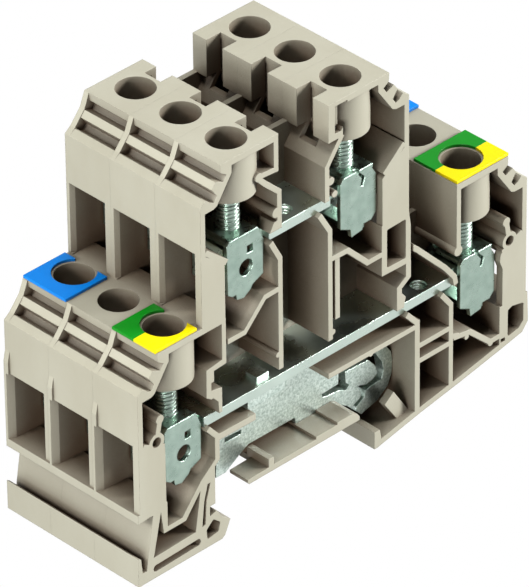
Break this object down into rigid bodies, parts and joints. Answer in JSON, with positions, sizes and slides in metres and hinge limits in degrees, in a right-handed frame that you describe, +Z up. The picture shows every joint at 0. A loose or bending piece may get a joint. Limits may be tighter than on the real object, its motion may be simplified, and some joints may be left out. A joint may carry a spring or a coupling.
{
  "type": "double level terminal block",
  "caption": "Rail-mounted double level screw terminal block: stacked open-fronted modules with clamping yokes, busbars and an earth foot.",
  "frame": {"origin": "centre of the bounding box in X and Y, at the lowest point of the feet", "axes": "+X along a module from the left foot with the screwdriver lip to the right one, +Y from the open front module to the rear module, +Z up, away from the rail"},
  "size_m": [0.0864, 0.0296, 0.0692],
  "materials": {
    "housing": "fine matt moulded polyamide, warm grey beige",
    "busbar": "bright tin plate over copper alloy",
    "foot_steel": "zinc-plated sheet steel, slightly mottled",
    "yoke_steel": "zinc-plated folded sheet steel",
    "screw_steel": "zinc-plated steel",
    "marker_yellow": "smooth printed plastic, yellow",
    "marker_green": "smooth plastic, green",
    "marker_blue": "smooth plastic, blue"
  },
  "bodies": {
    "block": {"housing_earth": "housing", "busbar_upper_earth": "busbar", "busbar_lower_earth": "busbar", "housing_line": "housing", "busbar_upper_line": "busbar", "busbar_lower_line": "busbar", "housing_neutral": "housing", "busbar_upper_neutral": "busbar", "busbar_lower_neutral": "busbar", "earth_foot": "foot_steel", "earth_rivet": "foot_steel", "marker_yellow_lower_left": "marker_yellow", "marker_yellow_lower_right": "marker_yellow", "marker_green_lower_left": "marker_green", "marker_green_lower_right": "marker_green", "marker_blue_lower_left": "marker_blue", "marker_blue_lower_right": "marker_blue"},
    "yoke_lower_left_earth": {"yoke_lower_left_earth": "yoke_steel"},
    "screw_lower_left_earth": {"screw_lower_left_earth": "screw_steel"},
    "yoke_upper_left_earth": {"yoke_upper_left_earth": "yoke_steel"},
    "screw_upper_left_earth": {"screw_upper_left_earth": "screw_steel"},
    "yoke_upper_right_earth": {"yoke_upper_right_earth": "yoke_steel"},
    "screw_upper_right_earth": {"screw_upper_right_earth": "screw_steel"},
    "yoke_lower_right_earth": {"yoke_lower_right_earth": "yoke_steel"},
    "screw_lower_right_earth": {"screw_lower_right_earth": "screw_steel"},
    "yoke_lower_left_line": {"yoke_lower_left_line": "yoke_steel"},
    "screw_lower_left_line": {"screw_lower_left_line": "screw_steel"},
    "yoke_upper_left_line": {"yoke_upper_left_line": "yoke_steel"},
    "screw_upper_left_line": {"screw_upper_left_line": "screw_steel"},
    "yoke_upper_right_line": {"yoke_upper_right_line": "yoke_steel"},
    "screw_upper_right_line": {"screw_upper_right_line": "screw_steel"},
    "yoke_lower_right_line": {"yoke_lower_right_line": "yoke_steel"},
    "screw_lower_right_line": {"screw_lower_right_line": "screw_steel"},
    "yoke_lower_left_neutral": {"yoke_lower_left_neutral": "yoke_steel"},
    "screw_lower_left_neutral": {"screw_lower_left_neutral": "screw_steel"},
    "yoke_upper_left_neutral": {"yoke_upper_left_neutral": "yoke_steel"},
    "screw_upper_left_neutral": {"screw_upper_left_neutral": "screw_steel"},
    "yoke_upper_right_neutral": {"yoke_upper_right_neutral": "yoke_steel"},
    "screw_upper_right_neutral": {"screw_upper_right_neutral": "screw_steel"},
    "yoke_lower_right_neutral": {"yoke_lower_right_neutral": "yoke_steel"},
    "screw_lower_right_neutral": {"screw_lower_right_neutral": "screw_steel"}
  },
  "joints": [
    {"name": "screw_lower_left_earth", "type": "hinge", "parent": "block", "child": "screw_lower_left_earth", "pos_m": [-0.0324, -0.0101, 0.0352], "axis": [0, 0, 1], "range_deg": [-3240, 0]},
    {"name": "yoke_lower_left_earth", "type": "slide", "parent": "block", "child": "yoke_lower_left_earth", "axis": [0, 0, 1], "range_m": [0, 0.0063]},
    {"name": "screw_upper_left_earth", "type": "hinge", "parent": "block", "child": "screw_upper_left_earth", "pos_m": [-0.0186, -0.0101, 0.063], "axis": [0, 0, 1], "range_deg": [-3240, 0]},
    {"name": "yoke_upper_left_earth", "type": "slide", "parent": "block", "child": "yoke_upper_left_earth", "axis": [0, 0, 1], "range_m": [0, 0.0063]},
    {"name": "screw_upper_right_earth", "type": "hinge", "parent": "block", "child": "screw_upper_right_earth", "pos_m": [0.0058, -0.0101, 0.063], "axis": [0, 0, 1], "range_deg": [-3240, 0]},
    {"name": "yoke_upper_right_earth", "type": "slide", "parent": "block", "child": "yoke_upper_right_earth", "axis": [0, 0, 1], "range_m": [0, 0.0063]},
    {"name": "screw_lower_right_earth", "type": "hinge", "parent": "block", "child": "screw_lower_right_earth", "pos_m": [0.0324, -0.0101, 0.0352], "axis": [0, 0, 1], "range_deg": [-3240, 0]},
    {"name": "yoke_lower_right_earth", "type": "slide", "parent": "block", "child": "yoke_lower_right_earth", "axis": [0, 0, 1], "range_m": [0, 0.0063]},
    {"name": "screw_lower_left_line", "type": "hinge", "parent": "block", "child": "screw_lower_left_line", "pos_m": [-0.0324, -0.0002, 0.0352], "axis": [0, 0, 1], "range_deg": [-3240, 0]},
    {"name": "yoke_lower_left_line", "type": "slide", "parent": "block", "child": "yoke_lower_left_line", "axis": [0, 0, 1], "range_m": [0, 0.0063]},
    {"name": "screw_upper_left_line", "type": "hinge", "parent": "block", "child": "screw_upper_left_line", "pos_m": [-0.0186, -0.0002, 0.063], "axis": [0, 0, 1], "range_deg": [-3240, 0]},
    {"name": "yoke_upper_left_line", "type": "slide", "parent": "block", "child": "yoke_upper_left_line", "axis": [0, 0, 1], "range_m": [0, 0.0063]},
    {"name": "screw_upper_right_line", "type": "hinge", "parent": "block", "child": "screw_upper_right_line", "pos_m": [0.0058, -0.0002, 0.063], "axis": [0, 0, 1], "range_deg": [-3240, 0]},
    {"name": "yoke_upper_right_line", "type": "slide", "parent": "block", "child": "yoke_upper_right_line", "axis": [0, 0, 1], "range_m": [0, 0.0063]},
    {"name": "screw_lower_right_line", "type": "hinge", "parent": "block", "child": "screw_lower_right_line", "pos_m": [0.0324, -0.0002, 0.0352], "axis": [0, 0, 1], "range_deg": [-3240, 0]},
    {"name": "yoke_lower_right_line", "type": "slide", "parent": "block", "child": "yoke_lower_right_line", "axis": [0, 0, 1], "range_m": [0, 0.0063]},
    {"name": "screw_lower_left_neutral", "type": "hinge", "parent": "block", "child": "screw_lower_left_neutral", "pos_m": [-0.0324, 0.0097, 0.0352], "axis": [0, 0, 1], "range_deg": [-3240, 0]},
    {"name": "yoke_lower_left_neutral", "type": "slide", "parent": "block", "child": "yoke_lower_left_neutral", "axis": [0, 0, 1], "range_m": [0, 0.0063]},
    {"name": "screw_upper_left_neutral", "type": "hinge", "parent": "block", "child": "screw_upper_left_neutral", "pos_m": [-0.0186, 0.0097, 0.063], "axis": [0, 0, 1], "range_deg": [-3240, 0]},
    {"name": "yoke_upper_left_neutral", "type": "slide", "parent": "block", "child": "yoke_upper_left_neutral", "axis": [0, 0, 1], "range_m": [0, 0.0063]},
    {"name": "screw_upper_right_neutral", "type": "hinge", "parent": "block", "child": "screw_upper_right_neutral", "pos_m": [0.0058, 0.0097, 0.063], "axis": [0, 0, 1], "range_deg": [-3240, 0]},
    {"name": "yoke_upper_right_neutral", "type": "slide", "parent": "block", "child": "yoke_upper_right_neutral", "axis": [0, 0, 1], "range_m": [0, 0.0063]},
    {"name": "screw_lower_right_neutral", "type": "hinge", "parent": "block", "child": "screw_lower_right_neutral", "pos_m": [0.0324, 0.0097, 0.0352], "axis": [0, 0, 1], "range_deg": [-3240, 0]},
    {"name": "yoke_lower_right_neutral", "type": "slide", "parent": "block", "child": "yoke_lower_right_neutral", "axis": [0, 0, 1], "range_m": [0, 0.0063]}
  ],
  "couplings": [
    {"joint": "screw_lower_left_earth", "follows": "yoke_lower_left_earth", "rad_per_m": -8976},
    {"joint": "screw_upper_left_earth", "follows": "yoke_upper_left_earth", "rad_per_m": -8976},
    {"joint": "screw_upper_right_earth", "follows": "yoke_upper_right_earth", "rad_per_m": -8976},
    {"joint": "screw_lower_right_earth", "follows": "yoke_lower_right_earth", "rad_per_m": -8976},
    {"joint": "screw_lower_left_line", "follows": "yoke_lower_left_line", "rad_per_m": -8976},
    {"joint": "screw_upper_left_line", "follows": "yoke_upper_left_line", "rad_per_m": -8976},
    {"joint": "screw_upper_right_line", "follows": "yoke_upper_right_line", "rad_per_m": -8976},
    {"joint": "screw_lower_right_line", "follows": "yoke_lower_right_line", "rad_per_m": -8976},
    {"joint": "screw_lower_left_neutral", "follows": "yoke_lower_left_neutral", "rad_per_m": -8976},
    {"joint": "screw_upper_left_neutral", "follows": "yoke_upper_left_neutral", "rad_per_m": -8976},
    {"joint": "screw_upper_right_neutral", "follows": "yoke_upper_right_neutral", "rad_per_m": -8976},
    {"joint": "screw_lower_right_neutral", "follows": "yoke_lower_right_neutral", "rad_per_m": -8976}
  ]
}
